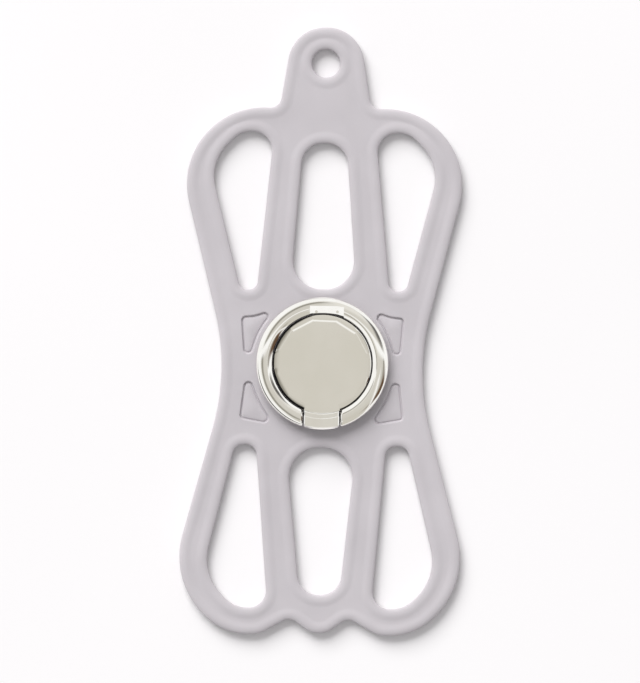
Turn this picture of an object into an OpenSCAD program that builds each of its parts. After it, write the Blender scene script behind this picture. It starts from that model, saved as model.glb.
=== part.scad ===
// Stretch-on silicone phone holder with a swivelling finger ring.
// The back lies on z = 0, the ring turns on the z axis, and the lanyard tab points along +y.

/* [Web outline] */
// Distance from the ring's axis to the top of the lanyard tab
head_len = 83.1; // [74:0.1:92]
// Distance from the ring's axis to the lowest edge
foot_len = 67.2; // [62:0.1:72]
// Width between the bends at the top of the tab
tab_top_w = 16.1; // [14:0.1:18]
// Width of the tab where it meets the shoulders
tab_root_w = 22.6; // [20:0.1:26]
// Height of the shoulders above the ring's axis
shoulder_y = 63.1; // [58:0.1:68]
// Width between the bends at the shoulders
shoulder_w = 78.8; // [74:0.1:84]
// Width between the bends at the waist
waist_w = 46; // [43:0.1:52]
// Distance of the waist's bend below the ring's axis
waist_drop = 1.9; // [0:0.1:5]
// Width between the bends of the lower lobes
haunch_w = 74.1; // [70:0.1:79]
// Distance of those bends below the ring's axis
haunch_drop = 54; // [50:0.1:58]
// Width between the bends where the lower lobes turn under
heel_w = 47.6; // [44:0.1:51]
// Width between the bends where the lower edge turns up
toe_w = 29.6; // [27:0.1:32]
// Width between the two notches in the lower edge
notch_w = 14.4; // [12:0.1:17]
// Depth of the notches above the lowest edge
notch_rise = 4.3; // [3:0.1:5.5]
// Drop of the middle bump's bend below the lowest edge
bump_drop = 0.9; // [0.5:0.1:1.2]
// Radius of the top of the tab
tab_r = 9.2; // [6:0.1:10]
// Radius of the inside corners beside the tab
tab_root_r = 2.8; // [1.5:0.1:4]
// Radius of the upper lobes
shoulder_r = 18.9; // [14:0.1:19]
// Radius of the waist
waist_r = 57; // [40:1:70]
// Radius of the lower lobes' sides
haunch_r = 20.8; // [14:0.1:21]
// Radius of the lower lobes' undersides
heel_r = 16; // [10:0.1:17]
// Radius where the lower edge turns up
toe_r = 8; // [4:0.1:9]
// Radius of the notches
notch_r = 3; // [2:0.1:3.5]
// Radius of the middle bump
bump_r = 5.7; // [4:0.1:6.5]

/* [Slots] */
// Distance from the ring's axis to the upper middle slot
upper_mid_near = 18.3; // [17.5:0.1:22]
// Height of the upper middle slot
upper_mid_len = 36.2; // [30:0.1:38]
// Width of the upper middle slot at its end by the ring
upper_mid_near_w = 16.2; // [13:0.1:17]
// Width of the upper middle slot at its far end
upper_mid_far_w = 10.8; // [8:0.1:12]
// Distance from the ring's axis to the lower middle slot
lower_mid_near = 20.8; // [19:0.1:24]
// Height of the lower middle slot
lower_mid_len = 36.6; // [30:0.1:38]
// Width of the lower middle slot at its end by the ring
lower_mid_near_w = 17.3; // [14:0.1:18]
// Width of the lower middle slot at its far end
lower_mid_far_w = 9.9; // [8:0.1:12]
// Distance from the ring's axis to the upper side slots
upper_side_near = 18; // [17:0.1:22]
// Distance from the ring's axis to the lower side slots
lower_side_near = 20.3; // [19:0.1:24]
// Silicone left between an upper side slot and the middle slot, at the far end
upper_rib_w = 7.2; // [6.4:0.1:8.5]
// Silicone left between a lower side slot and the middle slot, at the far end
lower_rib_w = 7.9; // [6.6:0.1:9]
// Width of the bar round the outside of the lobes
lobe_bar_w = 6.8; // [6.2:0.1:8]
// Width of the bar across the far end of the upper side slots
shoulder_bar_w = 5.9; // [5.7:0.1:7.5]
// Width of the bar across the far end of the lower side slots
heel_bar_w = 6.5; // [5.8:0.1:7.5]

/* [Silicone section] */
// Thickness of the flat silicone
field_t = 2.2; // [1.8:0.1:2.6]
// Height of the raised bead along every edge
bead_h = 3; // [2.6:0.1:3.4]
// Width of the bead
bead_w = 2.8; // [2.2:0.1:2.8]
// Height of the bead's upright side
bead_side_h = 1.9; // [1.4:0.1:2.2]
// Depth of the four triangular pockets
pocket_depth = 0.6; // [0.3:0.1:0.8]
// Corner radius of the pockets
pocket_r = 1; // [0.5:0.1:1.4]
// Diameter of the lanyard hole
lanyard_d = 7; // [5:0.1:8]
// Distance from the lanyard hole's axis to the top of the tab
lanyard_inset = 8.9; // [7.5:0.1:11]

/* [Finger ring] */
// Inner diameter of the ring
ring_inner_d = 24.7; // [22:0.1:25]
// Width of the ring's band
ring_band_w = 4; // [3.4:0.1:4.1]
// Thickness of the ring
ring_t = 2.8; // [2.4:0.1:3]
// Play between the ring and the round face plate
ring_gap = 0.35; // [0.3:0.01:0.5]
// Least play under the ring, over the silicone
under_gap = 0.3; // [0.3:0.05:0.6]
// Width of the lug that fills the ring's opening
lug_w = 8.7; // [7.5:0.1:9.5]
// Play between the lug and each end of the ring
lug_gap = 0.32; // [0.25:0.01:0.45]
// Distance from the ring's axis to the hinge pin
hinge_reach = 13.5; // [13.4:0.05:13.7]
// Width of the nail notch in the ring
nail_notch_w = 8.4; // [6:0.1:10]
// Sideways place of the nail notch
nail_notch_x = 1; // [0:0.05:1.5]
// How far the nail notch cuts into the band
nail_notch_cut = 1.85; // [1:0.05:2.2]
// Depth of the nail notch at the ring's inner edge
nail_notch_depth = 0.9; // [0.5:0.1:1]
// Depth of the nail notch at its far side
nail_notch_wall = 0.15; // [0.1:0.05:0.3]

/* [Hinge] */
// Diameter of the hinge pin
pin_d = 1.2; // [1:0.05:1.3]
// Length of the pin held in each end of the ring
pin_bite = 2.4; // [2:0.1:2.6]
// Outer diameter of the friction sleeve round the pin
sleeve_d = 1.8; // [1.7:0.05:1.9]
// Width of the slit along the sleeve
sleeve_slit = 0.25; // [0.15:0.05:0.4]
// Outer diameter of the hinge washers
hinge_washer_d = 2.4; // [2:0.1:2.6]
// Running play of the hinge, on the radius and beside each washer
hinge_play = 0.03; // [0.02:0.01:0.05]

/* [Plates and pivot] */
// Diameter of the plate on the back
back_plate_d = 28; // [26:0.1:30]
// Thickness of the plate on the back
back_plate_t = 0.8; // [0.6:0.05:0.9]
// Thickness of the soft pad that covers the back plate
pad_t = 0.3; // [0.2:0.05:0.4]
// Play round the back plate in its recess
recess_gap = 0.2; // [0.1:0.05:0.3]
// How far the base plate stays inside the face plate's edge
base_inset = 0.4; // [0.3:0.1:1]
// Thickness of the base plate
base_t = 0.8; // [0.7:0.05:1]
// Diameter of the hub under the base plate
hub_d = 9; // [8.6:0.1:9.6]
// Thickness of the ledge that the pivot's spring presses on
ledge_t = 0.9; // [0.8:0.05:1]
// Diameter of the pocket in the hub
hub_pocket_d = 7; // [6.8:0.1:7.2]
// Diameter of the pivot rivet's shank
pivot_d = 3; // [2.6:0.1:3.2]
// Diameter of the pivot rivet's lower head
pivot_head_d = 6.4; // [6:0.1:6.6]
// Thickness of the pivot rivet's lower head
pivot_head_t = 0.6; // [0.4:0.05:0.7]
// Running play round the pivot
pivot_play = 0.05; // [0.03:0.01:0.1]
// Thickness of the spring washer's steel
spring_t = 0.4; // [0.3:0.05:0.5]
// Diameter of the thrust washer
thrust_d = 12.4; // [10:0.1:12.8]
// Thickness of the thrust washer
thrust_t = 0.3; // [0.2:0.05:0.5]
// Thickness of the turntable's floor
deck_t = 1; // [0.8:0.05:1.1]
// Width of the turntable's raised rim
rim_w = 1.4; // [1:0.1:2]
// Diameter of the washer under the pivot's upper head
keeper_d = 5.6; // [5:0.1:7]
// Thickness of that washer
keeper_t = 0.3; // [0.2:0.05:0.35]
// Diameter of the pivot's upper head
upset_d = 4.4; // [4:0.1:4.8]
// Thickness of the adhesive film
film_t = 0.15; // [0.1:0.01:0.2]
// Thickness of the face plate
face_t = 0.8; // [0.7:0.05:0.9]
// Width of the face plate's bevel between its corners and its edge
bevel_w = 1.54; // [1:0.01:2]
// Depth of the face plate's bevel
bevel_depth = 0.4; // [0.2:0.05:0.6]
// Number of flats on the bevel
bevel_count = 12; // [8:1:16]
// Diameter of the rivet circle
rivet_circle_d = 16.6; // [16.4:0.1:18]
// Diameter of a rivet's shank
rivet_d = 1.8; // [1.4:0.1:2]
// Diameter of a rivet's heads
rivet_head_d = 3.2; // [2.8:0.1:3.4]
// Thickness of a rivet's heads
rivet_head_t = 0.4; // [0.3:0.05:0.45]

/* [Hidden] */

$fn = 72;

// How far a cut runs past the face that it leaves
overrun = 0.5;
// How far a facet of the web's arcs may cut inside the arc, and the largest turn from one to the next
facet_sag = 0.08;
facet_turn = 18;
// Share of an edge that the arcs at its two ends may use
edge_share = 0.97;
// Layers that round the top of the bead
bead_layers = 3;
// Play of a pressed or riveted joint
press_play = 0.01;
// Play round a rivet where it passes through silicone or steel
rivet_play = 0.05;
// Play between the pivot and the washers that it only passes through
washer_play = 0.1;
// Rivets through the plates, one node each
rivet_count = 4;

// Side slots as shares of their width and height, from the inner far corner: place x, place y, radius
upper_slot_shares = [[0, 1, 0.33], [0.56, 1, 0.43], [1.088, 0.8, 0.77], [0.54, 0, 0.155], [0.26, 0, 0.155]];
lower_slot_shares = [[0, 1, 0.29], [0.555, 1, 0.52], [1.105, 0.8, 0.85], [0.57, 0, 0.19], [0.22, 0, 0.19]];
// Radii of the middle slots, as shares of their width there
mid_near_r_share = 0.44;
mid_far_r_share = 0.52;
// Share of a side slot's width that its outer bend stands beyond its widest place
slot_bulge_share = 0.996;

// Pockets beside the ring: places as shares of the ring's outer radius
upper_pocket_shares = [[0.775, 0.8], [1.262, 0.71], [1.12, 0.07]];
lower_pocket_shares = [[1.12, -0.18], [1.253, -0.83], [0.73, -0.88]];

// The ring's section as shares of its width and thickness, from the inner edge and the middle
band_shares = [[0, -0.2], [0, 0.2], [0.27, 0.5], [0.6, 0.5], [0.78, 0.42], [0.93, 0.26], [1, 0.08],
               [1, -0.08], [0.93, -0.26], [0.78, -0.42], [0.6, -0.5], [0.27, -0.5]];
// Two dimples on the notch's floor: spacing as a share of the notch's width, place as one of its cut
dimple_spacing_share = 0.62;
dimple_place_share = 0.22;
dimple_d = 0.7;
dimple_depth = 0.15;

// Radial sizes that follow the ring
ring_inner_r = ring_inner_d / 2;
ring_outer_r = ring_inner_r + ring_band_w;
face_r = ring_inner_r - ring_gap;
base_r = face_r - base_inset;
deck_r = face_r - base_inset / 2;

// How far the widest places of the lobes lie inside their bends
shoulder_bend_in = 5.3;
haunch_bend_in = 2.6;
upper_half_w = shoulder_w / 2 - shoulder_bend_in;
lower_half_w = haunch_w / 2 - haunch_bend_in;

// The ends of the ring swing round the pin, so the corner of their section that is farthest from
// the pin sets its height
end_x = lug_w / 2 + lug_gap;
swing_r = max([for (s = band_shares)
  norm([sqrt(pow(ring_inner_r + s[0] * ring_band_w, 2) - pow(end_x, 2)) - hinge_reach, s[1] * ring_t])]);
hinge_z = max(bead_h + under_gap + ring_t / 2, field_t + under_gap + swing_r);

// Heights of the stack, from the back up
pivot_head_sink = 0.2;
upset_gap = 0.1;
plate_top_z = pad_t + back_plate_t;
base_top_z = field_t + base_t;
thrust_top_z = base_top_z + thrust_t;
deck_top_z = thrust_top_z + deck_t;
ring_top_z = hinge_z + ring_t / 2;
face_bottom_z = ring_top_z - face_t;
rim_top_z = face_bottom_z - film_t;
ledge_bottom_z = base_top_z - ledge_t;
pivot_head_top_z = plate_top_z + pivot_head_sink;
keeper_top_z = deck_top_z + keeper_t;
upset_top_z = rim_top_z - upset_gap;

function unit(v) = v / norm(v);
function turn_between(u, v) = atan2(u[0] * v[1] - u[1] * v[0], u * v);
function place(p) = [p[0], p[1]];
function before(loop, i) = loop[(i + len(loop) - 1) % len(loop)];
function after(loop, i) = loop[(i + 1) % len(loop)];
function dir_in(loop, i) = unit(place(loop[i]) - place(before(loop, i)));
function dir_out(loop, i) = unit(place(after(loop, i)) - place(loop[i]));
function turn_at(loop, i) = turn_between(dir_in(loop, i), dir_out(loop, i));

// Length that the full arc at corner i takes from each of its edges
function reach(loop, i) = loop[i][2] * tan(abs(turn_at(loop, i)) / 2);
// Share of that arc which fits on the edge from corner i to the next
function edge_fit(loop, i) =
  edge_share * norm(place(after(loop, i)) - place(loop[i]))
  / (reach(loop, i) + reach(loop, (i + 1) % len(loop)));
function corner_r(loop, i) =
  loop[i][2] * min(1, edge_fit(loop, i), edge_fit(loop, (i + len(loop) - 1) % len(loop)));

// Points of the rounded corner i, moved to the left of travel by offset
function corner_points(loop, i, offset) =
  let(turn = turn_at(loop, i), side = sign(turn), r = corner_r(loop, i),
      u = dir_in(loop, i), left = [-u[1], u[0]],
      centre = place(loop[i]) - u * r * tan(abs(turn) / 2) + left * side * r,
      step = min(facet_turn, 2 * acos(1 - facet_sag / r)),
      count = max(2, ceil(abs(turn) / step)),
      start = atan2(-left[1] * side, -left[0] * side))
  [for (k = [0:count]) centre + (r - offset * side) * [cos(start + turn * k / count),
                                                       sin(start + turn * k / count)]];
function loop_points(loop, offset) =
  [for (i = [0:len(loop) - 1]) for (p = corner_points(loop, i, offset)) p];

// A loop given by its right half, clockwise from the top, with the left half added
function both_halves(half) =
  concat(half, [for (i = [len(half) - 1:-1:0]) if (half[i][0] > 0) [-half[i][0], half[i][1], half[i][2]]]);
function mirrored(loop) =
  [for (i = [len(loop) - 1:-1:0]) [-loop[i][0], loop[i][1], loop[i][2]]];
// A loop turned upside down, still clockwise
function flipped(loop) =
  [for (i = [len(loop) - 1:-1:0]) [loop[i][0], -loop[i][1], loop[i][2]]];

outline = both_halves([
  [tab_top_w / 2, head_len, tab_r],
  [tab_root_w / 2, shoulder_y, tab_root_r],
  [shoulder_w / 2, shoulder_y, shoulder_r],
  [waist_w / 2, -waist_drop, waist_r],
  [haunch_w / 2, -haunch_drop, haunch_r],
  [heel_w / 2, -foot_len, heel_r],
  [toe_w / 2, -foot_len, toe_r],
  [notch_w / 2, notch_rise - foot_len, notch_r],
  [0, -foot_len - bump_drop, bump_r]]);

// A middle slot above the axis
function mid_slot(near, length, near_w, far_w) =
  both_halves([[far_w / 2, near + length, far_w * mid_far_r_share],
               [near_w / 2, near, near_w * mid_near_r_share]]);
// A side slot above the axis, on the right
function side_slot(inner_x, outer_x, near, far, shares) =
  let(w = (outer_x - inner_x) * slot_bulge_share)
  [for (s = shares) [inner_x + s[0] * w, near + s[1] * (far - near), s[2] * w]];

upper_mid = mid_slot(upper_mid_near, upper_mid_len, upper_mid_near_w, upper_mid_far_w);
lower_mid = flipped(mid_slot(lower_mid_near, lower_mid_len, lower_mid_near_w, lower_mid_far_w));
upper_side = side_slot(upper_mid_far_w / 2 + upper_rib_w, upper_half_w - lobe_bar_w,
                       upper_side_near, shoulder_y - shoulder_bar_w, upper_slot_shares);
lower_side = flipped(side_slot(lower_mid_far_w / 2 + lower_rib_w, lower_half_w - lobe_bar_w,
                               lower_side_near, foot_len - heel_bar_w, lower_slot_shares));
slots = [upper_mid, lower_mid, upper_side, mirrored(upper_side), lower_side, mirrored(lower_side)];

lanyard_y = head_len - lanyard_inset;

// Half the width and the top of one layer of the bead
function layer_half_w(k) = bead_w / 2 * cos(90 * k / bead_layers);
function layer_top(k) = bead_side_h + (bead_h - bead_side_h) * sin(90 * (k + 1) / bead_layers);

// A stepped bead round a loop; offset is where its middle runs
module bead(loop, offset) {
  for (k = [0:bead_layers - 1])
    linear_extrude(layer_top(k))
      difference() {
        polygon(loop_points(loop, offset + layer_half_w(k)));
        polygon(loop_points(loop, offset - layer_half_w(k)));
      }
}

// The round bead of the lanyard hole
module lanyard_bead() {
  translate([0, lanyard_y, 0])
    rotate_extrude()
      translate([lanyard_d / 2, 0])
        polygon(concat([[0, 0]],
                       [for (a = [180:-30:0]) [bead_w / 2 * (1 + cos(a)),
                                               bead_side_h + (bead_h - bead_side_h) * sin(a)]],
                       [[bead_w, 0]]));
}

module pocket(shares) {
  loop = [for (s = shares) [s[0] * ring_outer_r, s[1] * ring_outer_r, pocket_r]];
  for (l = [loop, mirrored(loop)])
    translate([0, 0, field_t - pocket_depth])
      linear_extrude(pocket_depth + overrun)
        polygon(loop_points(l, 0));
}

module at_rivet(k) {
  rotate([0, 0, (k - 1 / 2) * 360 / rivet_count])
    translate([rivet_circle_d / 2, 0, 0])
      children();
}

module at_rivets() {
  for (k = [1:rivet_count]) at_rivet(k) children();
}

// A washer or disc with its hole, from one height to another
module ring_of(outer_d, inner_d, from_z, to_z) {
  difference() {
    translate([0, 0, from_z]) cylinder(h = to_z - from_z, d = outer_d);
    translate([0, 0, from_z - overrun]) cylinder(h = to_z - from_z + 2 * overrun, d = inner_d);
  }
}

module silicone_web() {
  color([0.8, 0.785, 0.795])
    difference() {
      union() {
        difference() {
          linear_extrude(field_t) polygon(loop_points(outline, -bead_w / 2));
          for (s = slots)
            translate([0, 0, -overrun])
              linear_extrude(field_t + 2 * overrun) polygon(loop_points(s, bead_w / 2));
          translate([0, lanyard_y, -overrun])
            cylinder(h = field_t + 2 * overrun, d = lanyard_d + bead_w);
        }
        bead(outline, -bead_w / 2);
        for (s = slots) bead(s, bead_w / 2);
        lanyard_bead();
      }
      pocket(upper_pocket_shares);
      pocket(lower_pocket_shares);
      translate([0, 0, -overrun])
        cylinder(h = plate_top_z + overrun, d = back_plate_d + 2 * recess_gap);
      cylinder(h = field_t + overrun, d = hub_d + 2 * rivet_play);
      at_rivets() cylinder(h = field_t + overrun, d = rivet_d + 2 * rivet_play);
    }
}

module back_pad() {
  color([0.25, 0.25, 0.27]) cylinder(h = pad_t, d = back_plate_d);
}

module back_plate() {
  color([0.7, 0.7, 0.68])
    difference() {
      ring_of(back_plate_d, hub_pocket_d, pad_t, plate_top_z);
      at_rivets() {
        cylinder(h = plate_top_z + overrun, d = rivet_d + 2 * rivet_play);
        cylinder(h = pad_t + rivet_head_t, d = rivet_head_d + 2 * rivet_play);
      }
    }
}

module base_plate() {
  color([0.7, 0.7, 0.68])
    difference() {
      union() {
        translate([0, 0, field_t]) cylinder(h = base_t, r = base_r);
        translate([0, 0, plate_top_z]) cylinder(h = base_top_z - plate_top_z, d = hub_d);
      }
      translate([0, 0, plate_top_z - overrun])
        cylinder(h = ledge_bottom_z - plate_top_z + overrun, d = hub_pocket_d);
      translate([0, 0, plate_top_z])
        cylinder(h = base_top_z, d = pivot_d + 2 * pivot_play);
      at_rivets() {
        cylinder(h = base_top_z + overrun, d = rivet_d + 2 * rivet_play);
        translate([0, 0, base_top_z - rivet_head_t])
          cylinder(h = rivet_head_t + overrun, d = rivet_head_d + 2 * rivet_play);
      }
    }
}

module clamp_rivet(k) {
  color([0.75, 0.75, 0.74])
    at_rivet(k) {
      translate([0, 0, pad_t]) cylinder(h = base_top_z - pad_t, d = rivet_d);
      translate([0, 0, pad_t]) cylinder(h = rivet_head_t, d = rivet_head_d);
      translate([0, 0, base_top_z - rivet_head_t]) cylinder(h = rivet_head_t, d = rivet_head_d);
    }
}

module clamp_rivet_1() {
  clamp_rivet(1);
}

module clamp_rivet_2() {
  clamp_rivet(2);
}

module clamp_rivet_3() {
  clamp_rivet(3);
}

module clamp_rivet_4() {
  clamp_rivet(4);
}

module thrust_washer() {
  color([0.9, 0.9, 0.86])
    ring_of(thrust_d, pivot_d + 2 * washer_play, base_top_z, thrust_top_z);
}

// Section of the finger ring and of the lug that fills its opening
module band_section() {
  polygon([for (s = band_shares) [ring_inner_r + s[0] * ring_band_w, hinge_z + s[1] * ring_t]]);
}

// The lug, with the neck that joins it to the rim
module lug() {
  neck_bottom_z = deck_top_z - deck_t / 2;
  intersection() {
    rotate_extrude()
      union() {
        band_section();
        translate([deck_r - rim_w, neck_bottom_z])
          square([hinge_reach - deck_r + rim_w, rim_top_z - neck_bottom_z]);
      }
    translate([-lug_w / 2, -ring_outer_r - overrun, 0])
      cube([lug_w, ring_outer_r + overrun, ring_top_z + overrun]);
  }
}

module turntable() {
  color([0.78, 0.78, 0.75])
    difference() {
      union() {
        difference() {
          translate([0, 0, thrust_top_z]) cylinder(h = rim_top_z - thrust_top_z, r = deck_r);
          translate([0, 0, deck_top_z]) cylinder(h = ring_top_z, r = deck_r - rim_w);
        }
        lug();
      }
      cylinder(h = ring_top_z, d = pivot_d + 2 * press_play);
      translate([-ring_outer_r, -hinge_reach, hinge_z])
        rotate([0, 90, 0]) cylinder(h = 2 * ring_outer_r, d = sleeve_d + 2 * press_play);
    }
}

module pivot_rivet() {
  color([0.75, 0.75, 0.74]) {
    translate([0, 0, pivot_head_top_z - pivot_head_t]) cylinder(h = pivot_head_t, d = pivot_head_d);
    translate([0, 0, pivot_head_top_z - pivot_head_t])
      cylinder(h = upset_top_z - pivot_head_top_z + pivot_head_t, d = pivot_d);
    translate([0, 0, keeper_top_z]) cylinder(h = upset_top_z - keeper_top_z, d = upset_d);
  }
}

// A coned washer: its outer edge stands on the rivet's head, its inner edge under the ledge
module spring_washer() {
  inner_r = pivot_d / 2 + washer_play;
  outer_r = pivot_head_d / 2 - washer_play;
  color([0.55, 0.56, 0.58])
    rotate_extrude()
      polygon([[inner_r, ledge_bottom_z - spring_t], [outer_r, pivot_head_top_z],
               [outer_r, pivot_head_top_z + spring_t], [inner_r, ledge_bottom_z]]);
}

module keeper_washer() {
  color([0.72, 0.72, 0.7]) ring_of(keeper_d, pivot_d + 2 * press_play, deck_top_z, keeper_top_z);
}

module face_film() {
  color([0.92, 0.92, 0.88]) translate([0, 0, rim_top_z]) cylinder(h = film_t, r = deck_r);
}

// A polished disc whose bevel is cut as flats, with a tab that runs out over the neck to the lug
module face_plate() {
  flat_r = (face_r - bevel_w) * cos(180 / bevel_count);
  slope = atan2(bevel_depth, face_r - flat_r);
  color([0.76, 0.75, 0.71]) {
    difference() {
      translate([0, 0, face_bottom_z]) cylinder(h = face_t, r = face_r);
      for (k = [0:bevel_count - 1])
        rotate([0, 0, k * 360 / bevel_count])
          translate([flat_r, -face_r, ring_top_z])
            rotate([0, slope, 0]) cube([face_r, 2 * face_r, face_t]);
    }
    intersection() {
      translate([0, 0, face_bottom_z]) cylinder(h = face_t, r = ring_inner_r);
      translate([-lug_w / 2, -ring_inner_r, face_bottom_z]) cube([lug_w, ring_inner_r, face_t]);
    }
  }
}

module across_hinge(from_x, length) {
  translate([from_x, -hinge_reach, hinge_z]) rotate([0, 90, 0]) linear_extrude(length) children();
}

module friction_sleeve() {
  color([0.6, 0.61, 0.63])
    across_hinge(-lug_w / 2, lug_w)
      difference() {
        circle(d = sleeve_d);
        circle(d = pin_d + 2 * hinge_play);
        translate([0, -sleeve_slit / 2]) square([sleeve_d, sleeve_slit]);
      }
}

module hinge_pin() {
  color([0.7, 0.7, 0.7]) across_hinge(-end_x - pin_bite, 2 * (end_x + pin_bite)) circle(d = pin_d);
}

module hinge_washer(side) {
  t = lug_gap - 2 * hinge_play;
  color([0.9, 0.9, 0.86])
    across_hinge(side * (lug_w + lug_gap) / 2 - t / 2, t)
      difference() {
        circle(d = hinge_washer_d);
        circle(d = pin_d + 2 * press_play);
      }
}

module hinge_washer_left() {
  hinge_washer(-1);
}

module hinge_washer_right() {
  hinge_washer(1);
}

module finger_ring() {
  slope = atan2(nail_notch_depth - nail_notch_wall, nail_notch_cut);
  color([0.8, 0.8, 0.77])
    difference() {
      rotate_extrude() band_section();
      translate([-end_x, -ring_outer_r - overrun, hinge_z - ring_t])
        cube([2 * end_x, ring_outer_r + overrun, 2 * ring_t]);
      across_hinge(-end_x - pin_bite, 2 * (end_x + pin_bite)) circle(d = pin_d + 2 * press_play);
      translate([nail_notch_x - nail_notch_w / 2,
                 ring_inner_r + nail_notch_cut,
                 ring_top_z - nail_notch_wall])
        rotate([slope, 0, 0]) translate([0, -ring_inner_r, 0]) cube([nail_notch_w, ring_inner_r, ring_t]);
      for (side = [-1, 1])
        translate([nail_notch_x + side * nail_notch_w * dimple_spacing_share / 2,
                   ring_inner_r + nail_notch_cut * dimple_place_share,
                   ring_top_z - nail_notch_depth - dimple_depth])
          cylinder(h = ring_t, d = dimple_d);
    }
}

silicone_web();
back_pad();
back_plate();
base_plate();
clamp_rivet_1();
clamp_rivet_2();
clamp_rivet_3();
clamp_rivet_4();
thrust_washer();
turntable();
pivot_rivet();
spring_washer();
keeper_washer();
face_film();
face_plate();
friction_sleeve();
hinge_pin();
hinge_washer_left();
hinge_washer_right();
finger_ring();
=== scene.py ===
"""Looks of a stretch-on silicone phone holder with a finger ring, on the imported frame.

The holder lies flat with its head at +y, and the middle of the ring is at x = y = 0. Lengths are in
millimetres until a mesh is made, where MM turns them to metres.
"""
from math import acos, asin, atan2, ceil, copysign, cos, degrees, pi, radians, sin, tan

import bmesh
import bpy
import numpy as np
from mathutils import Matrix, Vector
from mathutils.geometry import delaunay_2d_cdt


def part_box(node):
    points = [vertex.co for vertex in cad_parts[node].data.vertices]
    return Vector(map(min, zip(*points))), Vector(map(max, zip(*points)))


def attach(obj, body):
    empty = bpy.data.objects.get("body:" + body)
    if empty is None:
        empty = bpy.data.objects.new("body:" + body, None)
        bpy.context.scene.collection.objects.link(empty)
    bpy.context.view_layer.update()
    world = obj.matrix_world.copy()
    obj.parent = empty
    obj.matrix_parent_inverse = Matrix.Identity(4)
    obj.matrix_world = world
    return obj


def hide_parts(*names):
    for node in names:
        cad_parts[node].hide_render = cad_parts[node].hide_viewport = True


MM = 0.001

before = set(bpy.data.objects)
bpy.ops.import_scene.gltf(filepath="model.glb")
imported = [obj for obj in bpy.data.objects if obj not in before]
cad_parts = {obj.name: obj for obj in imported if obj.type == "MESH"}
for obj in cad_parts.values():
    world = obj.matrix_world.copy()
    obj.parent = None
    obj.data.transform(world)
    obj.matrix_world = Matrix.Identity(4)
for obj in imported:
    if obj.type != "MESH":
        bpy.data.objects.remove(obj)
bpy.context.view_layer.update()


def low(node):
    """The lower corner of a piece's box, in millimetres."""
    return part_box(node)[0] / MM


def high(node):
    """The upper corner of a piece's box, in millimetres."""
    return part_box(node)[1] / MM


# The web
FLANGE_T = 0.8  # the flange of the base plate, which lies on the web
FIELD_T = high("base_plate").z - FLANGE_T
BEAD_H = FIELD_T + 0.18
BEAD_SIDE_H = 1.8  # where the bead meets the upright side
CREST_IN = 1.4  # from an edge of the silicone to the crest of its bead
BEAD_W = 3.1  # from an edge of the silicone to the field
FOOT_ROUND = 0.3
POCKET_DEPTH = 0.35
POCKET_SPACING = 0.4  # between the points round a pocket
GROOVE_DEPTH = 0.68  # the groove round a pocket's floor
GROOVE_W = 0.98
GROOVE_STEEP = 2.5  # each side of the groove takes 1 / GROOVE_STEEP of its width
GROOVE_ROWS = 8  # rows of points over the groove's width
RECESS_R = high("back_plate").x + 0.2
RECESS_H = high("back_plate").z
HEAD_Y = high("silicone_web").y
FOOT_Y = low("silicone_web").y
SHOULDER_Y = 63.1
LANYARD_Y = HEAD_Y - 8.9
LANYARD_R = 3.5

# The ring
RING_R = high("finger_ring").x
BAND_W = 4.0
BAND_R = RING_R - BAND_W
BAND_EDGE = 0.02  # the band's inner side stops this far short of BAND_R
CROWN_R = RING_R - 2.7  # where the band is highest
OVAL_R = RING_R - 3.65  # the middle of the oval that its outer side follows
INNER_FALL = 0.62  # how far down its inner slope goes
INNER_BEND = (1.5, 1.8)  # powers of sine and cosine that bend the inner slope
RING_TOP = high("finger_ring").z
BAND_T = RING_TOP - low("finger_ring").z
BAND_Z = RING_TOP - BAND_T / 2
SEAM = 0.01  # the lug and the disc's tab each stop this far short of BAND_R

# The hinge
LUG_X = high("friction_sleeve").x
END_X = high("hinge_washer_right").x + 0.1  # the ring's ends stand just past the hinge washers
CHAMFERS = ((0.19, 0), (0.165, 0.03), (0.02, 0.26), (0, 0.3))  # at the hinge gaps: how deep, how far in

# The nail notch and its dimples
NOTCH_X = 1.0
NOTCH_W = 8.4
NOTCH_CUT = 1.85  # how far it goes into the band
NOTCH_DEPTH = 0.9  # at the inner side of the band
NOTCH_WALL = 0.15  # depth at its far side
DIMPLE_R = 0.35
DIMPLE_SPACING = 5.2
DIMPLE_IN = 0.4
DIMPLE_DEPTH = 0.1
CUTTER_OVER = 1.0  # how far a cutter stands out over the ring

# The turntable
DECK_R = high("face_film").x
DECK_BOTTOM = high("thrust_washer").z
DECK_TOP = low("keeper_washer").z
SHADE_LIP_R = BAND_R - 0.15  # the lip at the foot of the turntable, near-black as painted shade under the gap round the disc
SHADE_LIP_T = 0.12
RIM_TOP = low("face_film").z
RIM_W = 1.4
PIVOT_R = 1.51
NECK_X = LUG_X - 0.05  # the neck joins the lug to the deck

# The mirror disc
DISC_R = high("face_plate").x
DISC_BOTTOM = low("face_plate").z
DISC_SHIFT = 0.1  # the disc is glued this far to the right, as in the photograph
FLAT_COUNT = 12
FLAT_CORNER_R = DISC_R - 0.86  # from the middle to the corners of the field
FLAT_DROP = 0.28  # how far a flat falls from the field to the rim
FLAT_TURN = 0.03  # radians
FLAT_EASE = 0.6  # how far the edge of the field is polished over at the flats at the top
FLAT_CRISP = 0.04  # and at all the others
TOP_FLATS = -0.8  # the cosine of a flat's angle is under this for those at the top
HAIR = 0.0005  # radians between the points on the two sides of a sharp edge
RIM_ROUND = 0.14
BRIGHT_RIM = (66, 138)  # degrees from -y, towards +x, where the rim has a polished bevel
SHADED_RIM = ((193, 258), (276, 360))  # and where it has a bevel in painted shade
SHADE_TAPER = 14  # degrees over which a bevel in painted shade grows to its full width
BEVEL_LEAST = 0.01  # the size of a bevel where it begins
BEVEL_W = 0.23
BEVEL_H = 0.13
TAB_BEVEL_W = 0.12
TAB_BEVEL_H = 0.05
EDGE_STEPS = (-1, -0.5, 0, 0.5, 1)  # the rows of points over the polished edge of the field
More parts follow.
